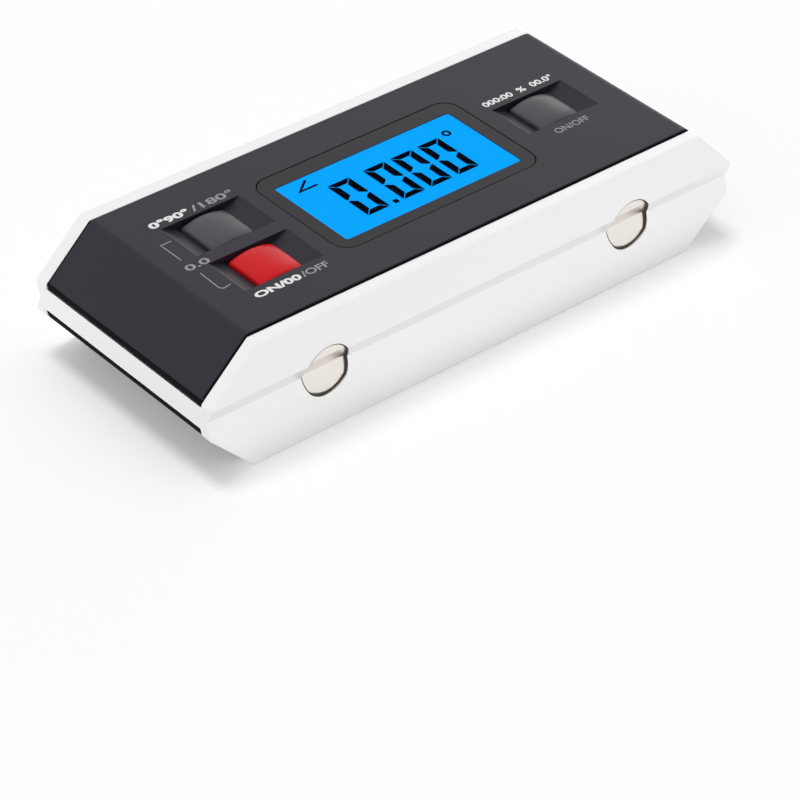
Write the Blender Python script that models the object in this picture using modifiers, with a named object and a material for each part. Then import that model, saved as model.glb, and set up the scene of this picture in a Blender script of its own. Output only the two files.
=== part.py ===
"""Digital angle gauge, lying on its back, front face up.

X runs along the long side, Y across it and Z out of the front face. The origin is the middle of the
back, on the surface that the gauge rests on. Lengths are in metres.
"""
import bpy
import bmesh
from math import acos, atan2, cos, pi, radians, sin, sqrt
from mathutils import Matrix, Vector
from typing import NamedTuple

MM = 0.001

# Frame: an aluminium ring of two long bars and two low end walls
LENGTH = 152.0 * MM
WIDTH = 60.0 * MM
HEIGHT = 31.6 * MM
END_LAND = 8.0 * MM            # height of an end face, between its two 45 degree cuts
BAR = 3.3 * MM                 # thickness of a long bar
END_WALL = 3.0 * MM
END_WALL_HEIGHT = 5.5 * MM
END_WALL_RAISE = 0.35 * MM     # its middle lies this far above the frame's
CORNER_ROUND = 1.0 * MM        # outline corners of the bars
FRAME_EDGE = 0.3 * MM          # broken edge along the bars
GROOVE_WIDTH = 6.8 * MM
GROOVE_DEPTH = 1.35 * MM

# Magnets in the bar at -Y
MAGNET_INSET = 31.6 * MM       # from the frame's end to a magnet's axis
MAGNET_BORE = 12.7 * MM
MAGNET_GAP = 0.3 * MM          # glue line round a magnet
MAGNET_SINK = 0.7 * MM         # its face lies this far below the groove

# Covers
FIT = 0.3 * MM                 # clearance between fitted pieces
SIDE_GAP = 0.25 * MM           # between a cover and the bars beside it
WALL = 2.0 * MM
SKIRT_WALL = 1.8 * MM
FACE_RISE = 0.2 * MM           # front face above the rims
BACK_DROP = 0.5 * MM           # back face above the resting plane
SLOPE_DROP = 0.2 * MM          # sloped ends of the rear cover below those of the bars
FRONT_SLOPE_DROP = 0.05 * MM
END_DROP = 0.5 * MM            # lips behind the end faces
LIP_ROUND = 1.0 * MM
CREASE_ROUND = 0.8 * MM
FRONT_CREASE_ROUND = 2.2 * MM
COVER_EDGE = 0.5 * MM
PARTING_RAISE = 0.2 * MM       # where the two covers meet, above the frame's middle

# Keys and the scoops round them
SCOOP_INSET = 31.8 * MM        # from the frame's end to a scoop's middle
SCOOP_SHIFT = 0.55 * MM        # all three scoops stand this much towards +X
SCOOP_PITCH = 16.2 * MM        # between the two keys on the left
SCOOP_LENGTH = 21.6 * MM
SCOOP_WIDTH = 12.6 * MM
SCOOP_DEPTH = 2.7 * MM
SCOOP_WALL = 1.6 * MM          # material left under the deepest point
KEY_LENGTH = 11.8 * MM
KEY_WIDTH = 11.6 * MM
KEY_CROWN_RISE = 0.1 * MM      # top of the crown above the front face
KEY_FALL_X = 1.1 * MM          # how far the crown falls to the ends
KEY_FALL_Y = 0.5 * MM
KEY_EDGE = 0.4 * MM
KEY_FLANGE = 0.8 * MM          # lip that keeps a key in its well, and its thickness
KEY_WALL = 1.3 * MM
KEY_STEM = 4.0 * MM
KEY_TRAVEL = 0.8 * MM

# Display
DISPLAY_X = 0.2 * MM
LENS_MARGIN = 4.5 * MM         # between the lens and a scoop, before the shift
LENS_WIDTH = 32.0 * MM
LENS_ROUND = 4.0 * MM
LENS_THICK = 1.0 * MM
LENS_GLUE = 0.2 * MM
LENS_LEDGE = 2.3 * MM          # that the lens is glued to, all round the window
GLASS_MARGIN = 0.7 * MM        # between the edge of the lens and that of the glass under it
GLASS_THICK = 2.4 * MM
STRIP_WIDTH = 2.0 * MM

# Circuit board and what it carries
BOARD_INSET = 14.0 * MM        # from the frame's ends
BOARD_MARGIN = 7.0 * MM        # from its long sides
BOARD_THICK = 1.6 * MM
BOARD_ROUND = 1.5 * MM
BOARD_DEPTH = 9.9 * MM         # its underside below the front rims
PART_GAP = 0.1 * MM            # solder gap of what sits on the board
SWITCH_SIDE = 6.2 * MM
SWITCH_THICK = 1.5 * MM
PLUNGER = 3.4 * MM
SENSOR_SIDE = 12.0 * MM
SENSOR_THICK = 4.0 * MM
SENSOR_PLACE = -0.29           # as a share of the frame's half length, from the middle
CHIP_SIDE = 10.0 * MM
CHIP_THICK = 1.6 * MM
CHIP_PLACE = -0.05
BUZZER = 12.0 * MM
BUZZER_THICK = 5.5 * MM
BUZZER_PLACE = -0.5
BUZZER_Y = -9.0 * MM

# Posts, case screws and plugs
POST_INSET = 19.7 * MM         # from the frame's end to a post's axis
POST_MARGIN = 11.8 * MM        # from its long side
POST = 9.4 * MM
FRONT_POST = 6.0 * MM
PLUG = 7.6 * MM
PLUG_THICK = 2.4 * MM
PLUG_GAP = 0.15 * MM
SCREW_SHANK = 2.6 * MM
SCREW_HEAD = 5.2 * MM
SCREW_HEAD_THICK = 1.9 * MM
SEAT_DEPTH = 5.6 * MM          # screw seat above the resting plane

# Battery and its box: what the case leaves free is 46.4 x 26.5 x 17.5 mm, a 9 V block
BATTERY_INSET = 15.8 * MM      # from the frame's end
BATTERY_LAG = 5.8 * MM         # from the door's start to the terminal end
BATTERY_SPARE = 0.25 * MM      # between battery and screw posts
ROOF_GAP = 0.35 * MM           # between the box's roof and the board
BATTERY_ROUND = 2.2 * MM
TERMINAL = 5.7 * MM
TERMINAL_LENGTH = 2.1 * MM
TERMINAL_SPREAD = 0.24         # from the middle, as a share of the battery's width
SNAP_THICK = 4.0 * MM
SNAP_MARGIN = 0.75 * MM        # the snap's edges inside those of the battery
SNAP_RELIEF = 2.75 * MM
BOX_WALL = 1.3 * MM
BOX_SPARE = 0.45 * MM          # room on each side of the battery
LEAD = 1.3 * MM
LEAD_PITCH = 8.0 * MM

# Battery door
DOOR_START = 8.0 * MM
DOOR_THICK = 1.8 * MM
DOOR_DOWN_SLOPE = 4.7 * MM     # how far along X it reaches past the crease
TONGUE_SHARE = 0.683           # its half width, as a share of the door's
TONGUE_X = 0.3 * MM            # centre of the tongue's round end
SHELF_WALL = 1.6 * MM
SHELF_RIM = 2.2 * MM
RECESS = 10.0 * MM
RECESS_DEPTH = 0.9 * MM
DOOR_SCREW_X = 1.5 * MM
DOOR_SCREW_HEAD = 5.4 * MM
DOOR_SCREW_LENGTH = 6.0 * MM
INSERT = 4.6 * MM
INSERT_LENGTH = 4.5 * MM
INSERT_WALL = 1.3 * MM
NOTCH = 10.8 * MM
NOTCH_X = -4.9 * MM
NOTCH_DEPTH = 1.1 * MM
RIB_COUNT = 7
RIB_START = 24.8 * MM
RIB_PITCH = 3.52 * MM
RIB_LONG = 15.3 * MM
RIB_STEP = 2.07 * MM
RIB_WIDTH = 1.0 * MM
RIB_PROUD = 0.3 * MM
HOOK_WIDTH = 6.0 * MM
HOOK_SPREAD = 0.56             # from the middle, as a share of the door's half width
HOOK_THICK = 1.2 * MM
HOOK_REACH = 2.4 * MM

# Small things on the back
VENT = 2.2 * MM
VENT_INSET = 38.4 * MM         # from the frame's end and from its long side
VENT_MARGIN = 18.0 * MM
LABEL_THICK = 0.2 * MM
LABEL_GAP = 0.05 * MM
LABEL_ROUND = 0.8 * MM
ORANGE_LENGTH = 18.4 * MM
ORANGE_WIDTH = 11.8 * MM
ORANGE_INSET = 34.8 * MM
ORANGE_MARGIN = 11.4 * MM
OVAL_LENGTH = 10.4 * MM
OVAL_WIDTH = 6.8 * MM
OVAL_INSET = 19.4 * MM
OVAL_MARGIN = 12.0 * MM

# Places and sizes that follow from those above
HALF = LENGTH / 2
END_CUT = (HEIGHT - END_LAND) / 2
FLAT = HALF - END_CUT                      # half length of the flat front and back
MIDDLE = HEIGHT / 2
END_WALL_LOW = MIDDLE + END_WALL_RAISE - END_WALL_HEIGHT / 2
END_WALL_TOP = END_WALL_LOW + END_WALL_HEIGHT
MAGNET_X = HALF - MAGNET_INSET
INSIDE = WIDTH / 2 - BAR                   # half width of the frame's opening
COVER_HALF = INSIDE - SIDE_GAP
SKIRT_X = HALF - END_WALL - FIT
PARTING = MIDDLE + PARTING_RAISE
FACE = HEIGHT + FACE_RISE
PLAY = 2 * FIT
OVERLAP = 1.0 * MM                         # how far joined solids reach into each other
ROOT2 = sqrt(2)
SCOOP_X = HALF - SCOOP_INSET
LENS_LENGTH = 2 * (SCOOP_X - SCOOP_LENGTH / 2 - LENS_MARGIN)
WINDOW_LENGTH = LENS_LENGTH - 2 * LENS_LEDGE
WINDOW_WIDTH = LENS_WIDTH - 2 * LENS_LEDGE
GLASS_LENGTH = LENS_LENGTH - 2 * GLASS_MARGIN
GLASS_WIDTH = LENS_WIDTH - 2 * GLASS_MARGIN
GLASS_TOP = FACE - WALL - FIT
GLASS_LOW = GLASS_TOP - GLASS_THICK
BOARD_LENGTH = LENGTH - 2 * BOARD_INSET
BOARD_WIDTH = WIDTH - 2 * BOARD_MARGIN
BOARD_LOW = HEIGHT - BOARD_DEPTH
BOARD_TOP = BOARD_LOW + BOARD_THICK
LIGHT_LENGTH = GLASS_LENGTH - 2 * OVERLAP
LIGHT_WIDTH = GLASS_WIDTH - 2 * (STRIP_WIDTH + PLAY)
SWITCH_LOW = BOARD_TOP + PART_GAP
SWITCH_TOP = SWITCH_LOW + SWITCH_THICK
KEY_FLANGE_TOP = FACE - SCOOP_DEPTH - SCOOP_WALL - FIT
KEY_LOW = KEY_FLANGE_TOP - KEY_FLANGE
POST_X = HALF - POST_INSET
POST_Y = WIDTH / 2 - POST_MARGIN
SCREW_TOP = BOARD_LOW - PART_GAP
BATTERY_START = DOOR_START + BATTERY_LAG
BATTERY_END = HALF - BATTERY_INSET
BATTERY_WIDTH = 2 * (POST_Y - POST / 2 - BATTERY_SPARE)
BATTERY_LOW = BACK_DROP + DOOR_THICK + FIT
BOX_TOP = BOARD_LOW - ROOF_GAP - BOX_WALL / 2
BATTERY_THICK = BOX_TOP - PLAY - BATTERY_LOW
BATTERY_MIDDLE = BATTERY_LOW + BATTERY_THICK / 2
SNAP_START = BATTERY_START + FIT - SNAP_THICK - PLAY
BOX_START = SNAP_START - FIT
BOX_HALF = BATTERY_WIDTH / 2 + BOX_SPARE
DOOR_HALF = BOX_HALF - FIT
TONGUE_RADIUS = DOOR_HALF * TONGUE_SHARE
VENT_X = VENT_INSET - HALF
VENT_Y = WIDTH / 2 - VENT_MARGIN
KEYS = {
    "hold": (SCOOP_SHIFT - SCOOP_X, SCOOP_PITCH / 2),
    "power": (SCOOP_SHIFT - SCOOP_X, -SCOOP_PITCH / 2),
    "light": (SCOOP_SHIFT + SCOOP_X, 0.0),
}
POSTS = [(x, y) for x in (-POST_X, POST_X) for y in (-POST_Y, POST_Y)]
ROUND_SIDES = 40
SMALL_SIDES = 20
ARC_STEPS = 14
CROWN_STEPS = 12
SHARP_ANGLE = radians(30)


def clear_scene():
    for old in list(bpy.data.objects):
        bpy.data.objects.remove(old, do_unlink=True)


def collection(name):
    group = bpy.data.collections.new(name)
    bpy.context.scene.collection.children.link(group)
    return group


clear_scene()
PARTS = collection("digital_angle_gauge")
CUTTERS = collection("cutters")


def material(name, colour, roughness, metallic=0.0):
    made = bpy.data.materials.new(name)
    made.use_nodes = True
    shader = made.node_tree.nodes["Principled BSDF"]
    shader.inputs["Base Color"].default_value = (*colour, 1.0)
    shader.inputs["Roughness"].default_value = roughness
    shader.inputs["Metallic"].default_value = metallic
    return made


ALUMINIUM = material("satin_aluminium", (0.80, 0.80, 0.79), 0.32, 1.0)
CASE_BLACK = material("case_black", (0.055, 0.052, 0.060), 0.45)
KEY_GREY = material("key_grey", (0.115, 0.112, 0.122), 0.45)
KEY_RED = material("key_red", (0.62, 0.022, 0.030), 0.35)
LENS_TINT = material("lens_tint", (0.060, 0.056, 0.062), 0.12)
LCD_BLUE = material("lcd_blue", (0.0, 0.39, 1.0), 0.25)
WHITE_PLASTIC = material("white_plastic", (0.80, 0.80, 0.78), 0.4)
RUBBER = material("contact_rubber", (0.05, 0.05, 0.05), 0.8)
BOARD_GREEN = material("board_green", (0.02, 0.16, 0.06), 0.4)
CHIP_BLACK = material("chip_black", (0.02, 0.02, 0.02), 0.5)
NICKEL = material("magnet_nickel", (0.78, 0.74, 0.70), 0.25, 1.0)
STEEL = material("bright_steel", (0.72, 0.72, 0.70), 0.3, 1.0)
BRASS = material("brass", (0.72, 0.52, 0.20), 0.3, 1.0)
BATTERY_SKIN = material("battery_sleeve", (0.10, 0.10, 0.11), 0.35)
LEAD_SKIN = material("lead_insulation", (0.45, 0.02, 0.02), 0.5)
ORANGE = material("label_orange", (1.0, 0.16, 0.01), 0.45)
PAPER = material("label_white", (0.85, 0.85, 0.85), 0.5)


def from_mesh(name, mesh, finish=None, group=None):
    made = bpy.data.objects.new(name, mesh)
    (group or PARTS).objects.link(made)
    if finish:
        mesh.materials.append(finish)
        mesh.shade_smooth()
        mesh.set_sharp_from_angle(angle=SHARP_ANGLE)
    return made


def bmesh_object(name, build, finish=None, group=None):
    work = bmesh.new()
    build(work)
    mesh = bpy.data.meshes.new(name)
    work.to_mesh(mesh)
    work.free()
    return from_mesh(name, mesh, finish, group)


def box(name, low, high, finish=None, group=None):
    """A block between two corners."""
    size = [b - a for a, b in zip(low, high)]
    centre = [(a + b) / 2 for a, b in zip(low, high)]

    def build(work):
        place = Matrix.Translation(centre) @ Matrix.Diagonal((*size, 1.0))
        bmesh.ops.create_cube(work, size=1.0, matrix=place)

    return bmesh_object(name, build, finish, group)


AXIS_TURN = {
    "Z": Matrix.Identity(4),
    "Y": Matrix.Rotation(pi / 2, 4, "X"),
    "X": Matrix.Rotation(pi / 2, 4, "Z") @ Matrix.Rotation(pi / 2, 4, "X"),
}


def rod(name, diameter, low, high, finish=None, axis="Z", sides=ROUND_SIDES, group=None, top=None):
    """A round bar or a cone between two points that lie along one axis."""
    low = Vector(low)
    high = Vector(high)
    length = (high - low).length
    radius = diameter / 2
    end_radius = radius if top is None else top / 2
    turn = AXIS_TURN[axis].to_3x3().to_4x4()
    if axis == "Y":
        turn = Matrix.Rotation(-pi / 2, 4, "X")

    def build(work):
        place = Matrix.Translation((low + high) / 2) @ turn
        bmesh.ops.create_cone(work, cap_ends=True, segments=sides, radius1=radius, radius2=end_radius,
                              depth=length, matrix=place)

    return bmesh_object(name, build, finish, group)


def arc(centre, radius, start, end, steps=ARC_STEPS):
    """Points on an arc, from one angle to another."""
    angles = [start + (end - start) * i / steps for i in range(steps + 1)]
    return [(centre[0] + radius * cos(a), centre[1] + radius * sin(a)) for a in angles]


class Corner(NamedTuple):
    """A corner of an outline. The side that starts here is soft when it takes part in a rounded edge."""
    x: float
    y: float
    radius: float = 0.0
    soft: bool = True


def rounded(corners, inset=0.0, steps=4):
    """An outline with rounded corners, drawn inward by an inset on its soft sides."""
    count = len(corners)
    places = [Vector((corner.x, corner.y)) for corner in corners]
    area = sum(places[i - 1].cross(places[i]) for i in range(count))
    inward = 1 if area > 0 else -1
    points = []
    for i, corner in enumerate(corners):
        here = places[i]
        come = (here - places[i - 1]).normalized()
        leave = (places[(i + 1) % count] - here).normalized()
        bend = atan2(come.cross(leave), come.dot(leave))
        first = Vector((-come.y, come.x)) * inward
        second = Vector((-leave.y, leave.x)) * inward
        if corner.radius > 0:
            side = 1 if bend * inward > 0 else -1
            centre = here + (first + second) * (side * corner.radius / (1 + first.dot(second)))
            start = atan2(-side * first.y, -side * first.x)
            points += arc(centre, corner.radius - side * inset, start, start + bend, steps)
            continue
        before = inset * corners[i - 1].soft
        after = inset * corner.soft
        lean = first.dot(second)
        spread = 1 - lean * lean
        along = (before - lean * after) / spread
        across = (after - lean * before) / spread
        points.append(here + first * along + second * across)
    return points


def rectangle(length, width, radius, x=0.0, y=0.0):
    a = length / 2
    b = width / 2
    return [Corner(x - a, y - b, radius), Corner(x + a, y - b, radius),
            Corner(x + a, y + b, radius), Corner(x - a, y + b, radius)]


def loft(name, rings, finish=None, axis="Z", group=None):
    """A solid through outlines with the same number of points, each at its own height.

    Along Z an outline is in X and Y, along Y it is in X and Z, along X it is in Y and Z.
    """
    turn = {
        "Z": lambda u, v, height: (u, v, height),
        "Y": lambda u, v, height: (u, height, v),
        "X": lambda u, v, height: (height, u, v),
    }[axis]

    def build(work):
        rows = [[work.verts.new(turn(u, v, height)) for u, v in outline] for outline, height in rings]
        for lower, upper in zip(rows, rows[1:]):
            for i in range(len(lower)):
                work.faces.new((lower[i - 1], lower[i], upper[i], upper[i - 1]))
        work.faces.new(rows[0])
        work.faces.new(rows[-1])
        bmesh.ops.recalc_face_normals(work, faces=work.faces)

    return bmesh_object(name, build, finish, group)


def prism(name, outline, low, high, finish=None, axis="Z", group=None):
    return loft(name, [(outline, low), (outline, high)], finish, axis, group)


def soft_prism(name, corners, low, high, edge, finish=None, axis="Z", steps=3):
    """A prism whose edges at both ends are rounded."""
    rise = [(edge * (1 - sin(pi / 2 * i / steps)), edge * (1 - cos(pi / 2 * i / steps)))
            for i in range(steps + 1)]
    rings = [(rounded(corners, inset), low + up) for inset, up in rise]
    rings += [(rounded(corners, inset), high - up) for inset, up in reversed(rise)]
    return loft(name, rings, finish, axis)


def combine(target, other, operation):
    """Cut, join or intersect with a solid that then only guides."""
    step = target.modifiers.new(other.name, "BOOLEAN")
    step.operation = operation
    step.object = other
    other.hide_render = True
    other.display_type = "WIRE"
    for owner in list(other.users_collection):
        owner.objects.unlink(other)
    CUTTERS.objects.link(other)


def cut(target, *cutters):
    for cutter in cutters:
        combine(target, cutter, "DIFFERENCE")


def join(target, *others):
    for other in others:
        combine(target, other, "UNION")


def soften(target, width, segments=2, angle=30):
    """Rounded edges; comes before the cuts, so that these stay crisp."""
    step = target.modifiers.new("edges", "BEVEL")
    step.width = width
    step.segments = segments
    step.limit_method = "ANGLE"
    step.angle_limit = radians(angle)


def side_profile(radius):
    """The bars' outline in X and Z."""
    low = END_CUT
    high = HEIGHT - END_CUT
    corners = [(-FLAT, 0), (FLAT, 0), (HALF, low), (HALF, high),
               (FLAT, HEIGHT), (-FLAT, HEIGHT), (-HALF, high), (-HALF, low)]
    return [Corner(x, z, radius) for x, z in corners]


def make_frame():
    frame = soft_prism("frame", side_profile(CORNER_ROUND), -WIDTH / 2, WIDTH / 2, FRAME_EDGE, ALUMINIUM, "Y")
    reach = HALF + OVERLAP
    cut(frame,
        box("frame_front_opening", (-reach, -INSIDE, END_WALL_TOP), (reach, INSIDE, HEIGHT + OVERLAP)),
        box("frame_back_opening", (-reach, -INSIDE, -OVERLAP), (reach, INSIDE, END_WALL_LOW)),
        box("frame_middle_opening", (END_WALL - HALF, -INSIDE, END_WALL_LOW - OVERLAP),
            (HALF - END_WALL, INSIDE, END_WALL_TOP + OVERLAP)))
    for side in (-1, 1):
        cut(frame, groove_cutter(f"frame_groove_{side}", side, 0.0))
        cut(frame, magnet_rod(f"magnet_bore_{side}", MAGNET_BORE, side * MAGNET_X,
                              -WIDTH / 2 - OVERLAP, -INSIDE + OVERLAP))


def magnet_rod(name, diameter, place, low, high, finish=None):
    return rod(name, diameter, (place, low, MIDDLE), (place, high, MIDDLE), finish, axis="Y")


def groove_cutter(name, side, sink):
    """A wedge along X whose tip lies at the bottom of the groove."""
    face = side * WIDTH / 2
    slope = GROOVE_WIDTH / 2 / GROOVE_DEPTH
    outside = face + side * OVERLAP
    tip = face - side * (GROOVE_DEPTH + sink)
    spread = slope * abs(outside - tip)
    outline = [(outside, MIDDLE - spread), (outside, MIDDLE + spread), (tip, MIDDLE)]
    reach = HALF + OVERLAP
    return prism(name, outline, -reach, reach, None, "X")


def make_magnets():
    for name, side in (("magnet_left", -1), ("magnet_right", 1)):
        magnet = magnet_rod(name, MAGNET_BORE - 2 * MAGNET_GAP, side * MAGNET_X,
                            -WIDTH / 2 + MAGNET_SINK, -INSIDE, NICKEL)
        cut(magnet, groove_cutter(f"{name}_groove", -1, MAGNET_SINK))


def cover_profile(drop, slope_drop, bend, lip, skirt):
    """Outer outline of a cover in X and depth, where depth runs inward from the frame's rims.

    drop and slope_drop are how deep its face and its slopes lie, bend is the radius between them,
    lip and skirt are how deep its end lips and its skirt reach.
    """
    crease = FLAT + drop - slope_drop * ROOT2
    edge_x = HALF - END_DROP
    edge = END_CUT - END_DROP + slope_drop * ROOT2
    right = [Corner(crease, drop, bend), Corner(edge_x, edge, LIP_ROUND),
             Corner(edge_x, lip, soft=False), Corner(SKIRT_X, lip, soft=False),
             Corner(SKIRT_X, skirt, soft=False)]
    left = [Corner(-SKIRT_X, skirt, soft=False), Corner(-SKIRT_X, lip, soft=False), Corner(-edge_x, lip),
            Corner(-edge_x, edge, LIP_ROUND), Corner(-crease, drop, bend)]
    return right + left


def cavity_profile(drop, slope_drop, skirt):
    """Inner outline of a cover in X and depth."""
    inner = drop + WALL
    slope = (slope_drop + WALL) * ROOT2
    crease = FLAT + inner - slope
    side = SKIRT_X - SKIRT_WALL
    half = [(crease, inner), (side, side - FLAT + slope), (side, skirt + OVERLAP)]
    return half + [(-x, d) for x, d in reversed(half)]


def shell(name, drop, slope_drop, bend, lip, skirt, place):
    """A cover moulding; place turns a depth into a height."""
    outline = cover_profile(drop, slope_drop, bend, lip, skirt)
    corners = [corner._replace(y=place(corner.y)) for corner in outline]
    cover = soft_prism(name, corners, -COVER_HALF, COVER_HALF, COVER_EDGE, CASE_BLACK, "Y")
    cavity = [(x, place(d)) for x, d in cavity_profile(drop, slope_drop, skirt)]
    half = COVER_HALF - SKIRT_WALL
    cut(cover, prism(f"{name}_cavity", cavity, -half, half, None, "Y"))
    return cover


def scoop_cutter(name, x, y):
    """A shallow round-bottomed well, cut across the face."""
    half = SCOOP_LENGTH / 2
    radius = (half * half + SCOOP_DEPTH * SCOOP_DEPTH) / (2 * SCOOP_DEPTH)
    centre = FACE - SCOOP_DEPTH + radius
    reach = acos((radius - SCOOP_DEPTH - FIT) / radius)
    outline = arc((x, centre), radius, -pi / 2 - reach, -pi / 2 + reach)
    return prism(name, outline, y - SCOOP_WIDTH / 2, y + SCOOP_WIDTH / 2, None, "Y")


def make_front_cover():
    cover = shell("front_cover", -FACE_RISE, FRONT_SLOPE_DROP, FRONT_CREASE_ROUND,
                  HEIGHT - END_WALL_TOP - FIT, HEIGHT - PARTING - FIT / 2, lambda depth: HEIGHT - depth)
    pad_low = FACE - SCOOP_DEPTH - SCOOP_WALL
    pad_x = SCOOP_LENGTH / 2 + SCOOP_WALL
    pad_y = SCOOP_WIDTH / 2 + SCOOP_WALL
    key_x = KEY_LENGTH / 2 + FIT
    key_y = KEY_WIDTH / 2 + FIT
    for name, (x, y) in KEYS.items():
        join(cover, box(f"{name}_pad", (x - pad_x, y - pad_y, pad_low),
                        (x + pad_x, y + pad_y, FACE - OVERLAP)))
    for name, (x, y) in KEYS.items():
        cut(cover, scoop_cutter(f"{name}_scoop", x, y),
            box(f"{name}_slot", (x - key_x, y - key_y, pad_low - OVERLAP), (x + key_x, y + key_y, HEIGHT)))
    pocket = rounded(rectangle(LENS_LENGTH + PLAY, LENS_WIDTH + PLAY, LENS_ROUND + FIT, DISPLAY_X))
    window = rounded(rectangle(WINDOW_LENGTH, WINDOW_WIDTH, PLAY, DISPLAY_X))
    cut(cover,
        prism("lens_pocket", pocket, FACE - LENS_THICK - LENS_GLUE, HEIGHT + OVERLAP),
        prism("window", window, FACE - WALL - OVERLAP, HEIGHT))
    for i, (x, y) in enumerate(POSTS):
        join(cover,
             rod(f"front_post_{i}", POST, (x, y, BOARD_TOP + PART_GAP), (x, y, FACE - WALL / 2),
                 sides=SMALL_SIDES),
             rod(f"front_pin_{i}", FRONT_POST, (x, y, PARTING + FIT), (x, y, BOARD_TOP + OVERLAP),
                 sides=SMALL_SIDES))
        cut(cover, rod(f"front_pilot_{i}", SCREW_SHANK + PLAY, (x, y, PARTING - OVERLAP),
                       (x, y, SCREW_TOP + FIT), sides=SMALL_SIDES))


def on_slope(x, depth):
    """A point in X and depth: x is taken on the bars' sloped end, depth is square to it."""
    return (x - depth / ROOT2, x - FLAT + depth / ROOT2)


def crease(face_depth, slope_depth):
    """Where a line along the face meets one along the slope."""
    return (FLAT + face_depth - slope_depth * ROOT2, face_depth)


def sill_profile(start):
    """The band under the door's sloped end that carries it, in X and depth."""
    end = SKIRT_X - SKIRT_WALL + OVERLAP
    near = DOOR_THICK / 2
    far = DOOR_THICK + FIT + BOX_WALL
    return [(start, BACK_DROP + near), crease(BACK_DROP + near, SLOPE_DROP + near),
            (end, end - FLAT + (SLOPE_DROP + near) * ROOT2), (end, end - FLAT + (SLOPE_DROP + far) * ROOT2),
            crease(BACK_DROP + far, SLOPE_DROP + far), (start, BACK_DROP + far)]


def door_profile(gap):
    """The door's section in X and depth, or that of its opening, which is larger by a gap."""
    start = DOOR_START - gap
    end = FLAT + DOOR_DOWN_SLOPE + gap / ROOT2
    face, slope = (BACK_DROP, SLOPE_DROP) if gap == 0 else (-OVERLAP, -OVERLAP)
    inner_face = BACK_DROP + DOOR_THICK + gap
    inner_slope = SLOPE_DROP + DOOR_THICK + gap
    return [(start, face), crease(face, slope), on_slope(end, slope), on_slope(end, inner_slope),
            crease(inner_face, inner_slope), (start, inner_face)]


def tongue_outline(gap, reach):
    """The tongue's outline in X and Y: a straight run with a half round end."""
    radius = TONGUE_RADIUS + gap
    end = DOOR_START + reach
    return [(end, -radius), (end, radius)] + arc((TONGUE_X, 0), radius, pi / 2, 3 * pi / 2, 2 * ARC_STEPS)


def hook_outline(gap, reach):
    """A hook in X and depth, or its slot: it runs under the cover past the door's end."""
    end = FLAT + DOOR_DOWN_SLOPE
    back = end - 3 * HOOK_REACH / ROOT2 - gap
    tip = end + (reach + gap) / ROOT2
    knee = end - FIT
    near = SLOPE_DROP + DOOR_THICK - FIT + gap
    under = SLOPE_DROP + WALL + FIT - gap
    far = under + HOOK_THICK + 2 * gap
    return [on_slope(back, near), on_slope(knee, near), on_slope(knee, under), on_slope(tip, under),
            on_slope(tip, far), on_slope(back, far)]


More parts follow.
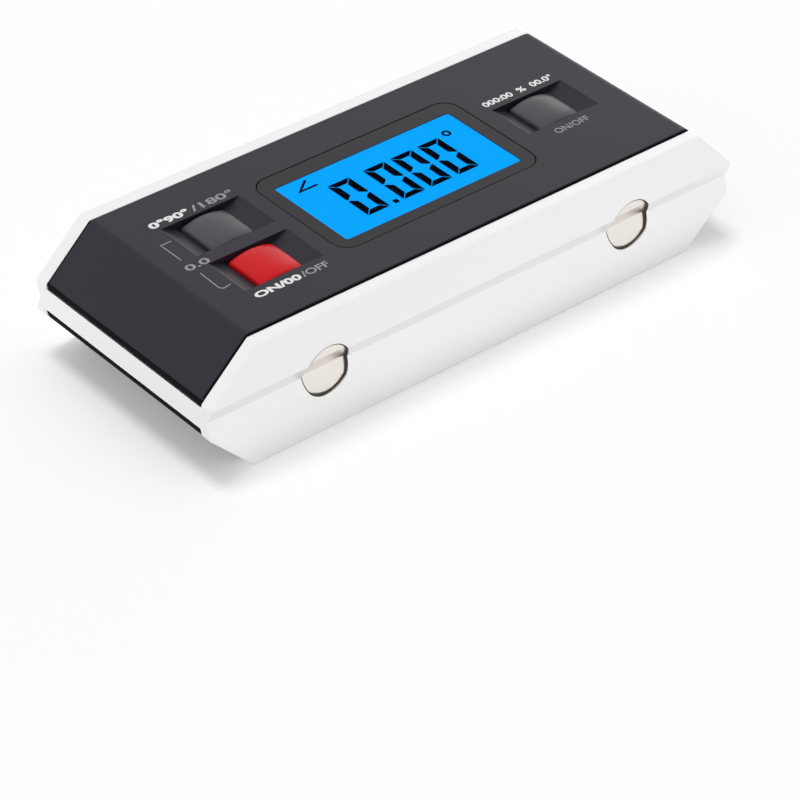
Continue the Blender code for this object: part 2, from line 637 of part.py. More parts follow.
def make_rear_cover():
    cover = shell("rear_cover", BACK_DROP, SLOPE_DROP, CREASE_ROUND, END_WALL_LOW - FIT, PARTING - FIT / 2,
                  lambda depth: depth)
    floor = BACK_DROP + WALL
    box_end = BATTERY_END + FIT
    for i, (x, y) in enumerate(POSTS):
        join(cover, rod(f"rear_post_{i}", POST, (x, y, floor - OVERLAP), (x, y, BOARD_LOW - FIT),
                        sides=SMALL_SIDES))
    join(cover,
         box("battery_box", (BOX_START - BOX_WALL, -BOX_HALF - BOX_WALL, floor - OVERLAP),
             (box_end + BOX_WALL, BOX_HALF + BOX_WALL, BOX_TOP + BOX_WALL / 2)),
         box("tongue_shelf", (TONGUE_X - TONGUE_RADIUS - SHELF_RIM, -TONGUE_RADIUS - SHELF_RIM,
                              floor - OVERLAP),
             (BOX_START - BOX_WALL / 2, TONGUE_RADIUS + SHELF_RIM,
              BACK_DROP + DOOR_THICK + FIT + SHELF_WALL)),
         rod("insert_boss", INSERT + 2 * INSERT_WALL, (DOOR_SCREW_X, 0, floor),
             (DOOR_SCREW_X, 0, BACK_DROP + DOOR_THICK + FIT + SHELF_WALL + INSERT_LENGTH), sides=SMALL_SIDES),
         prism("door_sill", sill_profile(BATTERY_END), -BOX_HALF - BOX_WALL / 2, BOX_HALF + BOX_WALL / 2,
               None, "Y"))
    cut(cover,
        box("battery_space", (BOX_START, -BOX_HALF, -OVERLAP), (box_end, BOX_HALF, BOX_TOP)),
        prism("door_opening", door_profile(FIT), -BOX_HALF, BOX_HALF, None, "Y"),
        prism("tongue_pocket", tongue_outline(FIT, OVERLAP), -OVERLAP, BACK_DROP + DOOR_THICK + FIT),
        rod("finger_notch", NOTCH, (NOTCH_X, 0, -OVERLAP), (NOTCH_X, 0, BACK_DROP + NOTCH_DEPTH)),
        rod("insert_bore", INSERT + PLAY, (DOOR_SCREW_X, 0, 0),
            (DOOR_SCREW_X, 0, BACK_DROP + DOOR_THICK + FIT + INSERT_LENGTH + 2 * FIT), sides=SMALL_SIDES),
        box("lead_slot", (BOX_START - BOX_WALL - OVERLAP, -LEAD_PITCH / 2 - LEAD, BATTERY_MIDDLE - LEAD),
            (BOX_START + OVERLAP, LEAD_PITCH / 2 + LEAD, BATTERY_MIDDLE + LEAD)),
        rod("vent", VENT, (VENT_X, VENT_Y, -OVERLAP), (VENT_X, VENT_Y, floor + OVERLAP), sides=SMALL_SIDES))
    for side in (-1, 1):
        middle = side * HOOK_SPREAD * DOOR_HALF
        cut(cover, prism(f"hook_slot_{side}", hook_outline(FIT, HOOK_REACH),
                         middle - HOOK_WIDTH / 2 - FIT, middle + HOOK_WIDTH / 2 + FIT, None, "Y"))
    for i, (x, y) in enumerate(POSTS):
        cut(cover,
            rod(f"plug_bore_{i}", PLUG + 2 * PLUG_GAP, (x, y, -OVERLAP), (x, y, SEAT_DEPTH)),
            rod(f"screw_hole_{i}", SCREW_SHANK + PLAY, (x, y, 0), (x, y, BOARD_LOW), sides=SMALL_SIDES),
            rod(f"pin_socket_{i}", FRONT_POST + PLAY, (x, y, PARTING), (x, y, BOARD_LOW + OVERLAP),
                sides=SMALL_SIDES))


def make_battery_door():
    door = prism("battery_door", door_profile(0), -DOOR_HALF, DOOR_HALF, CASE_BLACK, "Y")
    join(door, prism("tongue", tongue_outline(0, OVERLAP), BACK_DROP, BACK_DROP + DOOR_THICK))
    for side in (-1, 1):
        middle = side * HOOK_SPREAD * DOOR_HALF
        join(door, prism(f"hook_{side}", hook_outline(0, HOOK_REACH - FIT),
                         middle - HOOK_WIDTH / 2, middle + HOOK_WIDTH / 2, None, "Y"))
    for i in range(RIB_COUNT):
        x = RIB_START + i * RIB_PITCH
        outline = rounded(rectangle(RIB_WIDTH, RIB_LONG - i * RIB_STEP, RIB_WIDTH * 0.49, x))
        join(door, prism(f"rib_{i}", outline, BACK_DROP - RIB_PROUD, BACK_DROP + DOOR_THICK / 2))
    cut(door,
        rod("screw_recess", RECESS, (DOOR_SCREW_X, 0, -OVERLAP), (DOOR_SCREW_X, 0, BACK_DROP + RECESS_DEPTH)),
        rod("door_screw_hole", SCREW_SHANK + PLAY, (DOOR_SCREW_X, 0, 0),
            (DOOR_SCREW_X, 0, BACK_DROP + DOOR_THICK + OVERLAP), sides=SMALL_SIDES))


def make_door_screw():
    seat = BACK_DROP + RECESS_DEPTH
    x = DOOR_SCREW_X
    head_low = BACK_DROP + PLUG_GAP
    screw = rod("door_screw", DOOR_SCREW_HEAD, (x, 0, head_low), (x, 0, seat - PLUG_GAP), STEEL)
    soften(screw, PLUG_GAP, segments=1)
    join(screw, rod("door_screw_shank", SCREW_SHANK, (x, 0, seat - 2 * PLUG_GAP),
                    (x, 0, seat + DOOR_SCREW_LENGTH), sides=SMALL_SIDES))
    cut(screw, *cross_recess("door_screw", x, 0, head_low, RECESS_DEPTH / 2))
    start = BACK_DROP + DOOR_THICK + FIT
    insert = rod("door_insert", INSERT, (x, 0, start + FIT), (x, 0, start + FIT + INSERT_LENGTH), BRASS,
                 sides=SMALL_SIDES)
    cut(insert, rod("insert_thread", SCREW_SHANK + PLAY, (x, 0, start - OVERLAP),
                    (x, 0, start + INSERT_LENGTH + 2 * OVERLAP), sides=SMALL_SIDES))


def cross_recess(name, x, y, face, depth):
    """Two crossed slots in a screw head whose face looks down."""
    long = SCREW_HEAD * 0.3
    short = SCREW_HEAD * 0.08
    return [box(f"{name}_slot_{i}", (x - a, y - b, face - OVERLAP), (x + a, y + b, face + depth))
            for i, (a, b) in enumerate(((long, short), (short, long)))]


def make_case_screws():
    for i, (x, y) in enumerate(POSTS):
        head_low = SEAT_DEPTH - FIT - SCREW_HEAD_THICK
        screw = rod(f"case_screw_{i + 1}", SCREW_HEAD, (x, y, head_low), (x, y, SEAT_DEPTH - FIT), STEEL,
                    sides=SMALL_SIDES)
        join(screw, rod(f"case_shank_{i}", SCREW_SHANK, (x, y, SEAT_DEPTH - 2 * FIT),
                        (x, y, SCREW_TOP), sides=SMALL_SIDES))
        cut(screw, *cross_recess(f"case_screw_{i}", x, y, head_low, SCREW_HEAD_THICK / 2))
        plug_top = BACK_DROP + PLUG_THICK
        plug = rod(f"screw_plug_{i + 1}", PLUG, (x, y, BACK_DROP), (x, y, plug_top), CASE_BLACK)
        soften(plug, PLUG_GAP, segments=1)


def make_lens_and_display():
    lens = rounded(rectangle(LENS_LENGTH, LENS_WIDTH, LENS_ROUND, DISPLAY_X), steps=6)
    prism("display_lens", lens, FACE - LENS_THICK, FACE, LENS_TINT)

    def block(name, length, width, low, high, finish=None):
        return box(name, (DISPLAY_X - length / 2, -width / 2, low),
                   (DISPLAY_X + length / 2, width / 2, high), finish)

    # The rear glass lies under the wall, the smaller front glass stands in the window
    panel = block("lcd_panel", GLASS_LENGTH, GLASS_WIDTH, GLASS_LOW, GLASS_TOP, LCD_BLUE)
    join(panel, block("front_glass", WINDOW_LENGTH - PLAY, WINDOW_WIDTH - PLAY, GLASS_LOW + OVERLAP,
                      FACE - LENS_THICK - PART_GAP))
    block("backlight", LIGHT_LENGTH, LIGHT_WIDTH, BOARD_TOP + PART_GAP, GLASS_LOW - PART_GAP, WHITE_PLASTIC)
    strip_y = (LIGHT_WIDTH + STRIP_WIDTH) / 2 + PART_GAP
    for name, side in (("contact_strip_near", -1), ("contact_strip_far", 1)):
        box(name, (DISPLAY_X - LIGHT_LENGTH / 2, side * strip_y - STRIP_WIDTH / 2, BOARD_TOP + PART_GAP),
            (DISPLAY_X + LIGHT_LENGTH / 2, side * strip_y + STRIP_WIDTH / 2, GLASS_LOW - PART_GAP), RUBBER)


def make_circuit_board():
    outline = rounded(rectangle(BOARD_LENGTH, BOARD_WIDTH, BOARD_ROUND))
    board = prism("circuit_board", outline, BOARD_LOW, BOARD_TOP, BOARD_GREEN)
    for i, (x, y) in enumerate(POSTS):
        cut(board, rod(f"board_hole_{i}", FRONT_POST + PLAY, (x, y, BOARD_LOW - OVERLAP),
                       (x, y, BOARD_TOP + OVERLAP), sides=SMALL_SIDES))
    top = BOARD_LOW - PART_GAP

    def under(name, x, y, side, thick, finish):
        part = box(name, (x - side / 2, y - side / 2, top - thick), (x + side / 2, y + side / 2, top), finish)
        soften(part, PART_GAP * 2)

    under("tilt_sensor", SENSOR_PLACE * HALF, 0, SENSOR_SIDE, SENSOR_THICK, STEEL)
    under("processor", CHIP_PLACE * HALF, 0, CHIP_SIDE, CHIP_THICK, CHIP_BLACK)
    x = BUZZER_PLACE * HALF
    buzzer = rod("buzzer", BUZZER, (x, BUZZER_Y, top - BUZZER_THICK), (x, BUZZER_Y, top), CHIP_BLACK)
    soften(buzzer, PART_GAP * 2, segments=1)
    cut(buzzer, rod("buzzer_mouth", BUZZER / 6, (x, BUZZER_Y, top - BUZZER_THICK - OVERLAP),
                    (x, BUZZER_Y, top - BUZZER_THICK / 2), sides=SMALL_SIDES))


def crowned_block(name, x, y, top, low, finish):
    """A key cap: its top is a low crown that falls away to all four sides."""

    def build(work):
        bmesh.ops.create_grid(work, x_segments=CROWN_STEPS, y_segments=CROWN_STEPS, size=0.5)
        for vertex in work.verts:
            u = 2 * vertex.co.x
            v = 2 * vertex.co.y
            vertex.co = (x + u * KEY_LENGTH / 2, y + v * KEY_WIDTH / 2,
                         top - KEY_FALL_X * u ** 2 - KEY_FALL_Y * v ** 4)
        grown = bmesh.ops.extrude_face_region(work, geom=work.faces[:])
        for item in grown["geom"]:
            if isinstance(item, bmesh.types.BMVert):
                item.co.z = low
        bmesh.ops.recalc_face_normals(work, faces=work.faces)

    return bmesh_object(name, build, finish)


def make_keys():
    finishes = {"hold": KEY_GREY, "power": KEY_RED, "light": KEY_GREY}
    for name, (x, y) in KEYS.items():
        key = crowned_block(f"{name}_button", x, y, FACE + KEY_CROWN_RISE, KEY_LOW + KEY_FLANGE / 2,
                            finishes[name])
        soften(key, KEY_EDGE, angle=40)
        flange_x = KEY_LENGTH / 2 + KEY_FLANGE
        flange_y = KEY_WIDTH / 2 - FIT
        hollow_x = KEY_LENGTH / 2 - KEY_WALL
        hollow_y = KEY_WIDTH / 2 - KEY_WALL
        roof = FACE + KEY_CROWN_RISE - KEY_FALL_X - KEY_FALL_Y - KEY_WALL
        join(key, box(f"{name}_flange", (x - flange_x, y - flange_y, KEY_LOW),
                      (x + flange_x, y + flange_y, KEY_FLANGE_TOP)))
        cut(key, box(f"{name}_hollow", (x - hollow_x, y - hollow_y, KEY_LOW - OVERLAP),
                     (x + hollow_x, y + hollow_y, roof)))
        join(key, rod(f"{name}_stem", KEY_STEM, (x, y, KEY_LOW), (x, y, roof + KEY_WALL / 2),
                      sides=SMALL_SIDES))
        make_switch(name, x, y)


def make_switch(name, x, y):
    half = SWITCH_SIDE / 2
    body = box(f"{name}_switch", (x - half, y - half, SWITCH_LOW),
               (x + half, y + half, SWITCH_TOP), CHIP_BLACK)
    floor = SWITCH_LOW + PART_GAP
    cut(body, rod(f"{name}_switch_bore", PLUNGER + PLAY, (x, y, floor), (x, y, SWITCH_TOP + OVERLAP),
                  sides=SMALL_SIDES))
    rod(f"{name}_plunger", PLUNGER, (x, y, floor + KEY_TRAVEL + PART_GAP), (x, y, KEY_LOW - PART_GAP),
        WHITE_PLASTIC, sides=SMALL_SIDES)


def make_battery():
    outline = rounded(rectangle(BATTERY_WIDTH, BATTERY_THICK, BATTERY_ROUND, 0, BATTERY_MIDDLE))
    battery = prism("battery", outline, BATTERY_START, BATTERY_END, BATTERY_SKIN, "X")
    half_width = BATTERY_WIDTH / 2 - SNAP_MARGIN
    half_height = BATTERY_THICK / 2 - SNAP_RELIEF
    snap = box("battery_snap", (SNAP_START, -half_width, BATTERY_MIDDLE - half_height),
               (SNAP_START + SNAP_THICK, half_width, BATTERY_MIDDLE + half_height), CHIP_BLACK)
    soften(snap, FIT)
    for i, side in enumerate((-1, 1)):
        y = side * TERMINAL_SPREAD * BATTERY_WIDTH
        join(battery, rod(f"terminal_{i}", TERMINAL, (BATTERY_START - TERMINAL_LENGTH, y, BATTERY_MIDDLE),
                          (BATTERY_START + OVERLAP, y, BATTERY_MIDDLE), axis="X", sides=SMALL_SIDES))
        cut(snap, rod(f"snap_socket_{i}", TERMINAL + PLAY, (BATTERY_START - TERMINAL_LENGTH - FIT, y,
                                                           BATTERY_MIDDLE),
                      (BATTERY_START + OVERLAP, y, BATTERY_MIDDLE), axis="X", sides=SMALL_SIDES))


def make_leads():
    """Two short leads from the snap, out of the box and up to the board."""
    for name, side in (("lead_positive", 1), ("lead_negative", -1)):
        y = side * LEAD_PITCH / 2
        start = SNAP_START - PART_GAP
        bend = BOX_START - BOX_WALL - 2 * LEAD
        height = BOARD_LOW - PART_GAP - BATTERY_MIDDLE
        curve = bpy.data.curves.new(name, "CURVE")
        curve.dimensions = "3D"
        curve.bevel_depth = LEAD / 2
        curve.bevel_resolution = 2
        curve.use_fill_caps = True
        radius = 2 * LEAD
        corner = arc((bend, BATTERY_MIDDLE + radius), radius, -pi / 2, -pi, 6)
        path = [(start, BATTERY_MIDDLE)] + corner + [(bend - radius, BATTERY_MIDDLE + height)]
        spline = curve.splines.new("POLY")
        spline.points.add(len(path) - 1)
        for point, (x, z) in zip(spline.points, path):
            point.co = (x, y, z, 1.0)
        lead = bpy.data.objects.new(name, curve)
        PARTS.objects.link(lead)
        curve.materials.append(LEAD_SKIN)


def make_labels():
    high = BACK_DROP - LABEL_GAP
    orange = rectangle(ORANGE_LENGTH, ORANGE_WIDTH, LABEL_ROUND, ORANGE_INSET - HALF,
                       ORANGE_MARGIN - WIDTH / 2)
    prism("orange_label", rounded(orange), high - LABEL_THICK, high, ORANGE)
    steps = 2 * ARC_STEPS
    turns = [2 * pi * i / steps for i in range(steps)]
    x = OVAL_INSET - HALF
    y = OVAL_MARGIN - WIDTH / 2
    oval = [(x + OVAL_LENGTH / 2 * cos(turn), y + OVAL_WIDTH / 2 * sin(turn)) for turn in turns]
    prism("oval_label", oval, high - LABEL_THICK, high, PAPER)


def settle_normals():
    """Keeps flat faces flat beside small roundings. It comes last in each stack of modifiers."""
    for part in PARTS.objects:
        if part.type == "MESH":
            step = part.modifiers.new("normals", "WEIGHTED_NORMAL")
            step.keep_sharp = True


make_frame()
make_magnets()
make_front_cover()
make_rear_cover()
make_battery_door()
make_door_screw()
make_case_screws()
make_lens_and_display()
make_circuit_board()
make_keys()
make_battery()
make_leads()
make_labels()
settle_normals()
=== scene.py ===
from math import cos, pi, radians, sin

import bmesh
import bpy
from mathutils import Matrix, Vector


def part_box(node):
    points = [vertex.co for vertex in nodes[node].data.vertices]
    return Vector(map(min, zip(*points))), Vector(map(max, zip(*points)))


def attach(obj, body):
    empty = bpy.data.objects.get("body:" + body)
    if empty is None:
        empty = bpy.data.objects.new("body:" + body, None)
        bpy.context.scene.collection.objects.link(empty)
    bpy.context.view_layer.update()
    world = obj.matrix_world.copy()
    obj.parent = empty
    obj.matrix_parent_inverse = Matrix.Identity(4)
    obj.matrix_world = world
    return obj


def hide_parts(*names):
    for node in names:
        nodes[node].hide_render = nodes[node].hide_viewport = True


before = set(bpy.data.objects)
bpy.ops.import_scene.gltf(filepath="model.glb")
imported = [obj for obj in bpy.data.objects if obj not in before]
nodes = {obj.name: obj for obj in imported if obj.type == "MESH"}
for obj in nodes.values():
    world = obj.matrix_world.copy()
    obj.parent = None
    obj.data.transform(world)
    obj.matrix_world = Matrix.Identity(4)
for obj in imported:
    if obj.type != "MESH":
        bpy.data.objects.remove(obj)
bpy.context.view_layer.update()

mm = 0.001
softTurn = 40          # degrees between faces up to which an edge is shaded smooth


# shader maths

class Wire:
    # a socket that takes part in sums
    def __init__(self, net, socket):
        self.net = net
        self.socket = socket

    def math(self, operation, first, second):
        return self.net.node("ShaderNodeMath", {"operation": operation}, {0: first, 1: second})

    def __add__(self, other):
        return self.math("ADD", self, other)

    def __radd__(self, other):
        return self.math("ADD", other, self)

    def __sub__(self, other):
        return self.math("SUBTRACT", self, other)

    def __rsub__(self, other):
        return self.math("SUBTRACT", other, self)

    def __mul__(self, other):
        return self.math("MULTIPLY", self, other)

    def __rmul__(self, other):
        return self.math("MULTIPLY", other, self)


class Net:
    # the node tree of one material or of the world
    def __init__(self, tree, keep):
        self.tree = tree
        self.shader = tree.nodes.get(keep)

    def node(self, kind, settings=None, inputs=None, output=0):
        # the settings come first, then the values or links of the sockets
        made = self.tree.nodes.new(kind)
        for name, value in (settings or {}).items():
            setattr(made, name, value)
        for name, value in (inputs or {}).items():
            self.feed(made.inputs[name], value)
        return Wire(self, made.outputs[output])

    def feed(self, socket, value):
        if isinstance(value, Wire):
            self.tree.links.new(value.socket, socket)
        elif socket.type == "RGBA" and len(value) == 3:
            socket.default_value = (*value, 1)
        else:
            socket.default_value = value

    def place(self, stretch=(1, 1, 1)):
        # object coordinates, drawn out along an axis where its number is small
        where = self.node("ShaderNodeTexCoord", output="Object")
        return self.node("ShaderNodeMapping", inputs={"Vector": where, "Scale": stretch})

    def noise(self, scale, detail, rough=0.55, stretch=(1, 1, 1)):
        return self.node(
            "ShaderNodeTexNoise", {"noise_dimensions": "3D"},
            {"Vector": self.place(stretch), "Scale": scale, "Detail": detail, "Roughness": rough})

    def blend(self, factor, first, second):
        # one colour over another
        return self.node("ShaderNodeMix", {"data_type": "RGBA", "clamp_factor": True},
                         {"Factor": factor, 6: first, 7: second}, output=2)

    def bump(self, height, strength, distance):
        return self.node("ShaderNodeBump",
                         inputs={"Height": height, "Strength": strength, "Distance": distance})

    def finish(self, **inputs):
        for name, value in inputs.items():
            self.feed(self.shader.inputs[name.replace("_", " ")], value)


def newMaterial(name):
    material = bpy.data.materials.new(name)
    material.use_nodes = True
    return material, Net(material.node_tree, "Principled BSDF")


# the finishes

aluminium = {
    "colour": (0.905, 0.905, 0.902), "dull": (0.85, 0.85, 0.85),
    "cloud": 28, "cloudShare": 0.55, "lineShare": 0.35,
    "roughness": 0.31, "roughnessSpread": 0.12, "grainRoughness": 0.06,
    "drawLines": (6, 900, 900), "grain": 2200, "relief": 0.25, "lineDepth": 0.004 * mm,
}


def makeAluminium():
    material, net = newMaterial("satinAluminium")
    cloud = net.noise(aluminium["cloud"], detail=3)
    lines = net.noise(1, detail=2, stretch=aluminium["drawLines"])
    grain = net.noise(aluminium["grain"], detail=2)
    dulled = cloud * aluminium["cloudShare"] + lines * aluminium["lineShare"]
    net.finish(
        Base_Color=net.blend(dulled, aluminium["dull"], aluminium["colour"]),
        Metallic=1.0,
        Roughness=(cloud - 0.5) * aluminium["roughnessSpread"]
        + grain * aluminium["grainRoughness"] + aluminium["roughness"],
        Normal=net.bump(lines * 0.5 + grain * 0.5, aluminium["relief"], aluminium["lineDepth"]))
    return material


plastic = {
    "cloud": 36, "cloudShare": 0.7, "grainShare": 0.3, "grain": 1900, "relief": 0.35,
    "depth": 0.012 * mm, "polish": 0.05, "cloudRoughness": 0.06, "grainRoughness": 0.04,
    "shine": 0.5,
}


def makePlastic(name, colour, dark, roughness, grain=plastic["grain"], depth=plastic["depth"],
                shine=plastic["shine"]):
    # moulded plastic with a fine grain and a little unevenness in its gloss
    material, net = newMaterial(name)
    cloud = net.noise(plastic["cloud"], detail=4)
    fine = net.noise(grain, detail=2, rough=0.6)
    net.finish(
        Base_Color=net.blend(cloud * plastic["cloudShare"] + fine * plastic["grainShare"],
                             dark, colour),
        Roughness=roughness - plastic["polish"] + cloud * plastic["cloudRoughness"]
        + fine * plastic["grainRoughness"],
        Normal=net.bump(fine, plastic["relief"], depth),
        Specular_IOR_Level=shine)
    return material


metal = {"cloud": 160, "grain": 2600, "relief": 0.15, "depth": 0.004 * mm, "polish": 0.05,
         "roughnessSpread": 0.1}


def makeMetal(name, colour, dull, roughness):
    # plated or turned metal with a faint clouding
    material, net = newMaterial(name)
    cloud = net.noise(metal["cloud"], detail=3)
    fine = net.noise(metal["grain"], detail=2)
    net.finish(
        Base_Color=net.blend(cloud, dull, colour),
        Metallic=1.0,
        Roughness=roughness - metal["polish"] + cloud * metal["roughnessSpread"],
        Normal=net.bump(fine, metal["relief"], metal["depth"]))
    return material


labelPaper = {"fibre": 700, "fibreLie": (1, 0.4, 1), "wave": 90, "fibreShare": 0.5, "waveShare": 0.4,
              "roughness": 0.42, "roughnessSpread": 0.12, "relief": 0.3, "depth": 0.03 * mm,
              "shine": 0.2}


def makePaper(name, colour, shade):
    # a printed label: flat colour over a soft fibre
    material, net = newMaterial(name)
    fibre = net.noise(labelPaper["fibre"], detail=4, stretch=labelPaper["fibreLie"])
    wave = net.noise(labelPaper["wave"], detail=2)
    shaded = fibre * labelPaper["fibreShare"] + wave * labelPaper["waveShare"]
    net.finish(
        Base_Color=net.blend(shaded, shade, colour),
        Roughness=labelPaper["roughness"] + wave * labelPaper["roughnessSpread"],
        Normal=net.bump(wave * 0.8 + fibre * 0.2, labelPaper["relief"], labelPaper["depth"]),
        Specular_IOR_Level=labelPaper["shine"])
    return material


def makeInk(name, colour, worn, shine=0.5):
    # pad-printed legend, a little thin in places
    material, net = newMaterial(name)
    thin = net.noise(900, detail=3)
    net.finish(Base_Color=net.blend(thin, worn, colour), Roughness=0.55, Specular_IOR_Level=shine)
    return material


litScreen = {"colour": (0.003, 0.340, 0.97), "shade": (0.002, 0.315, 0.93), "cloud": 30,
             "glow": 0.45, "roughness": 0.5}


def makeScreen():
    # lit blue background of the display
    material, net = newMaterial("litScreen")
    cloud = net.noise(litScreen["cloud"], detail=2)
    colour = net.blend(cloud, litScreen["shade"], litScreen["colour"])
    net.finish(Base_Color=colour, Emission_Color=colour, Emission_Strength=litScreen["glow"],
               Roughness=litScreen["roughness"], Specular_IOR_Level=0.0)
    return material


clearPane = {"smear": 60, "alpha": 0.03, "alphaSpread": 0.02, "roughness": 0.05,
             "roughnessSpread": 0.08, "shine": 0.08}


def makePane():
    # clear middle of the lens
    material, net = newMaterial("clearPane")
    smear = net.noise(clearPane["smear"], detail=3)
    net.finish(Base_Color=(0.0, 0.0, 0.0),
               Alpha=smear * clearPane["alphaSpread"] + clearPane["alpha"],
               Roughness=smear * clearPane["roughnessSpread"] + clearPane["roughness"],
               Specular_IOR_Level=clearPane["shine"])
    return material


# name, colour and its darker tone, roughness, and what differs from a plain moulding
finishes = {
    "aluminium": makeAluminium(),
    "case": makePlastic("moulded case", (0.0152, 0.0141, 0.0235), (0.0117, 0.0109, 0.0186), 0.48,
                        shine=0.34),
    "greyKey": makePlastic("grey key", (0.0645, 0.0620, 0.0730), (0.0565, 0.0540, 0.0640), 0.42,
                           grain=2600, depth=0.006 * mm, shine=0.4),
    "redKey": makePlastic("red key", (0.68, 0.007, 0.013), (0.62, 0.005, 0.010), 0.38,
                          grain=2600, depth=0.006 * mm, shine=0.22),
    "lensBorder": makePlastic("lens border", (0.0120, 0.0112, 0.0148), (0.0095, 0.0088, 0.0120),
                              0.4, grain=900, depth=0.002 * mm, shine=0.27),
    "plug": makePlastic("screw plug", (0.0125, 0.0119, 0.0150), (0.0095, 0.0090, 0.0115), 0.5,
                        grain=1400, shine=0.3),
    "chip": makePlastic("black package", (0.020, 0.020, 0.021), (0.014, 0.014, 0.015), 0.5),
    "white": makePlastic("white moulding", (0.80, 0.80, 0.78), (0.74, 0.74, 0.72), 0.45),
    # near-black and nearly matt: painted shade for the strips over the cover lips and edges
    "paintedShadeStrip": makePlastic("lip seal", (0.0050, 0.0048, 0.0062), (0.0035, 0.0034, 0.0045), 0.75,
                        grain=1200, shine=0.08),
    "rubber": makePlastic("contact rubber", (0.05, 0.05, 0.05), (0.035, 0.035, 0.035), 0.8),
    "board": makePlastic("board mask", (0.02, 0.16, 0.06), (0.015, 0.12, 0.045), 0.35),
    "sleeve": makePlastic("battery sleeve", (0.10, 0.10, 0.11), (0.07, 0.07, 0.08), 0.35),
    "lead": makePlastic("lead skin", (0.45, 0.02, 0.02), (0.35, 0.015, 0.015), 0.5),
    "nickel": makeMetal("magnet nickel", (0.88, 0.835, 0.785), (0.80, 0.755, 0.705), 0.3),
    "steel": makeMetal("bright zinc", (0.74, 0.74, 0.72), (0.62, 0.62, 0.61), 0.3),
    "brass": makeMetal("turned brass", (0.72, 0.52, 0.20), (0.60, 0.42, 0.15), 0.3),
    "orange": makePaper("orange label", (1.0, 0.165, 0.012), (0.92, 0.135, 0.008)),
    "paper": makePaper("white label", (0.90, 0.90, 0.89), (0.86, 0.86, 0.85)),
    "whiteInk": makeInk("white ink", (0.92, 0.92, 0.93), (0.78, 0.78, 0.80)),
    "greyInk": makeInk("grey ink", (0.36, 0.36, 0.39), (0.25, 0.25, 0.28)),
    # dark brown: the bonding line in the magnet bores, and painted shade of the bore wall where the
    # ring is drawn deeper
    "bond": makePlastic("bonding line", (0.050, 0.033, 0.020), (0.030, 0.020, 0.012), 0.6),
    "segment": makeInk("display segment", (0.002, 0.004, 0.008), (0.001, 0.002, 0.004), shine=0.0),
    "screen": makeScreen(),
    "pane": makePane(),
}
print("finishes:", len(finishes))

nodeFinishes = {
    "aluminium": ["frame"],
    "case": ["front_cover", "rear_cover", "battery_door"],
    "lensBorder": ["display_lens"],
    "screen": ["lcd_panel"],
    "rubber": ["contact_strip_near", "contact_strip_far"],
    "board": ["circuit_board"],
    "chip": ["processor", "buzzer", "battery_snap", "hold_switch", "power_switch", "light_switch"],
    "greyKey": ["hold_button", "light_button"],
    "redKey": ["power_button"],
    "white": ["backlight", "hold_plunger", "power_plunger", "light_plunger"],
    "nickel": ["magnet_left", "magnet_right"],
    "steel": ["tilt_sensor", "door_screw"] + [f"case_screw_{i}" for i in range(1, 5)],
    "brass": ["door_insert"],
    "sleeve": ["battery"],
    "lead": ["lead_positive", "lead_negative"],
    "plug": [f"screw_plug_{i}" for i in range(1, 5)],
    "orange": ["orange_label"],
    "paper": ["oval_label"],
}
for finish, names in nodeFinishes.items():
    for name in names:
        for slot in nodes[name].material_slots:
            slot.material = finishes[finish]
print("nodes dressed:", sum(len(names) for names in nodeFinishes.values()))


# mesh helpers, in millimetres until a piece is added

def outlineOf(length, width, radius, centre=(0, 0), grow=0.0, arcSteps=8, sideSteps=1):
    # closed loop round a rectangle with rounded corners
    half = (length / 2 + grow - (radius + grow), width / 2 + grow - (radius + grow))
    corners = [(1, 1), (-1, 1), (-1, -1), (1, -1)]
    loop = []
    for i, (sx, sy) in enumerate(corners):
        for k in range(arcSteps + 1):
            turn = (i + k / arcSteps) * pi / 2
            loop.append((centre[0] + sx * half[0] + (radius + grow) * cos(turn),
                         centre[1] + sy * half[1] + (radius + grow) * sin(turn)))
        nx, ny = corners[(i + 1) % 4]
        turn = (i + 1) * pi / 2
        start = Vector(loop[-1])
        stop = Vector((centre[0] + nx * half[0] + (radius + grow) * cos(turn),
                       centre[1] + ny * half[1] + (radius + grow) * sin(turn)))
        loop += [tuple(start.lerp(stop, k / sideSteps)) for k in range(1, sideSteps)]
    return loop


def strokeOutline(points, width):
    # both sides of a line with mitred bends
    points = [Vector(point) for point in points]
    left, right = [], []
    for i, point in enumerate(points):
        before = (point - points[i - 1]).normalized() if i else (points[1] - point).normalized()
        after = (points[i + 1] - point).normalized() if i + 1 < len(points) else before
        normal = (Vector((-before.y, before.x)) + Vector((-after.y, after.x))).normalized()
        reach = width / 2 / max(0.4, normal.dot(Vector((-before.y, before.x))))
        left.append(tuple(point + normal * reach))
        right.append(tuple(point - normal * reach))
    return left + right[::-1]


def bandInto(net, first, second):
    # faces between two closed rings of vertices
    for k in range(len(first)):
        n = (k + 1) % len(first)
        net.faces.new((first[k], first[n], second[n], second[k]))


def plateInto(net, loops, low, high, edge=0.0, shrunk=None):
    # closed plate from an outer loop and its holes
    # shrunk holds the same loops at the top of a bevel
    bottom, top = [], []
    for i, loop in enumerate(loops):
        heights = [(loop, low), (loop, high - edge)] + ([(shrunk[i], high)] if shrunk else [])
        rings = [[net.verts.new((x, y, z)) for x, y in points] for points, z in heights]
        for lower, upper in zip(rings, rings[1:]):
            bandInto(net, lower, upper)
        for ring, found in ((rings[0], bottom), (rings[-1], top)):
            found += [net.edges.get((ring[k], ring[(k + 1) % len(ring)])) for k in range(len(ring))]
    for border in (bottom, top):
        bmesh.ops.triangle_fill(net, edges=border, use_beauty=True)


def meshOf(name, net, smooth=None):
    bmesh.ops.recalc_face_normals(net, faces=net.faces)
    mesh = bpy.data.meshes.new(name)
    net.to_mesh(mesh)
    net.free()
    mesh.transform(Matrix.Scale(mm, 4))
    if smooth is not None:
        mesh.shade_smooth()
        mesh.set_sharp_from_angle(angle=radians(smooth))
    return mesh


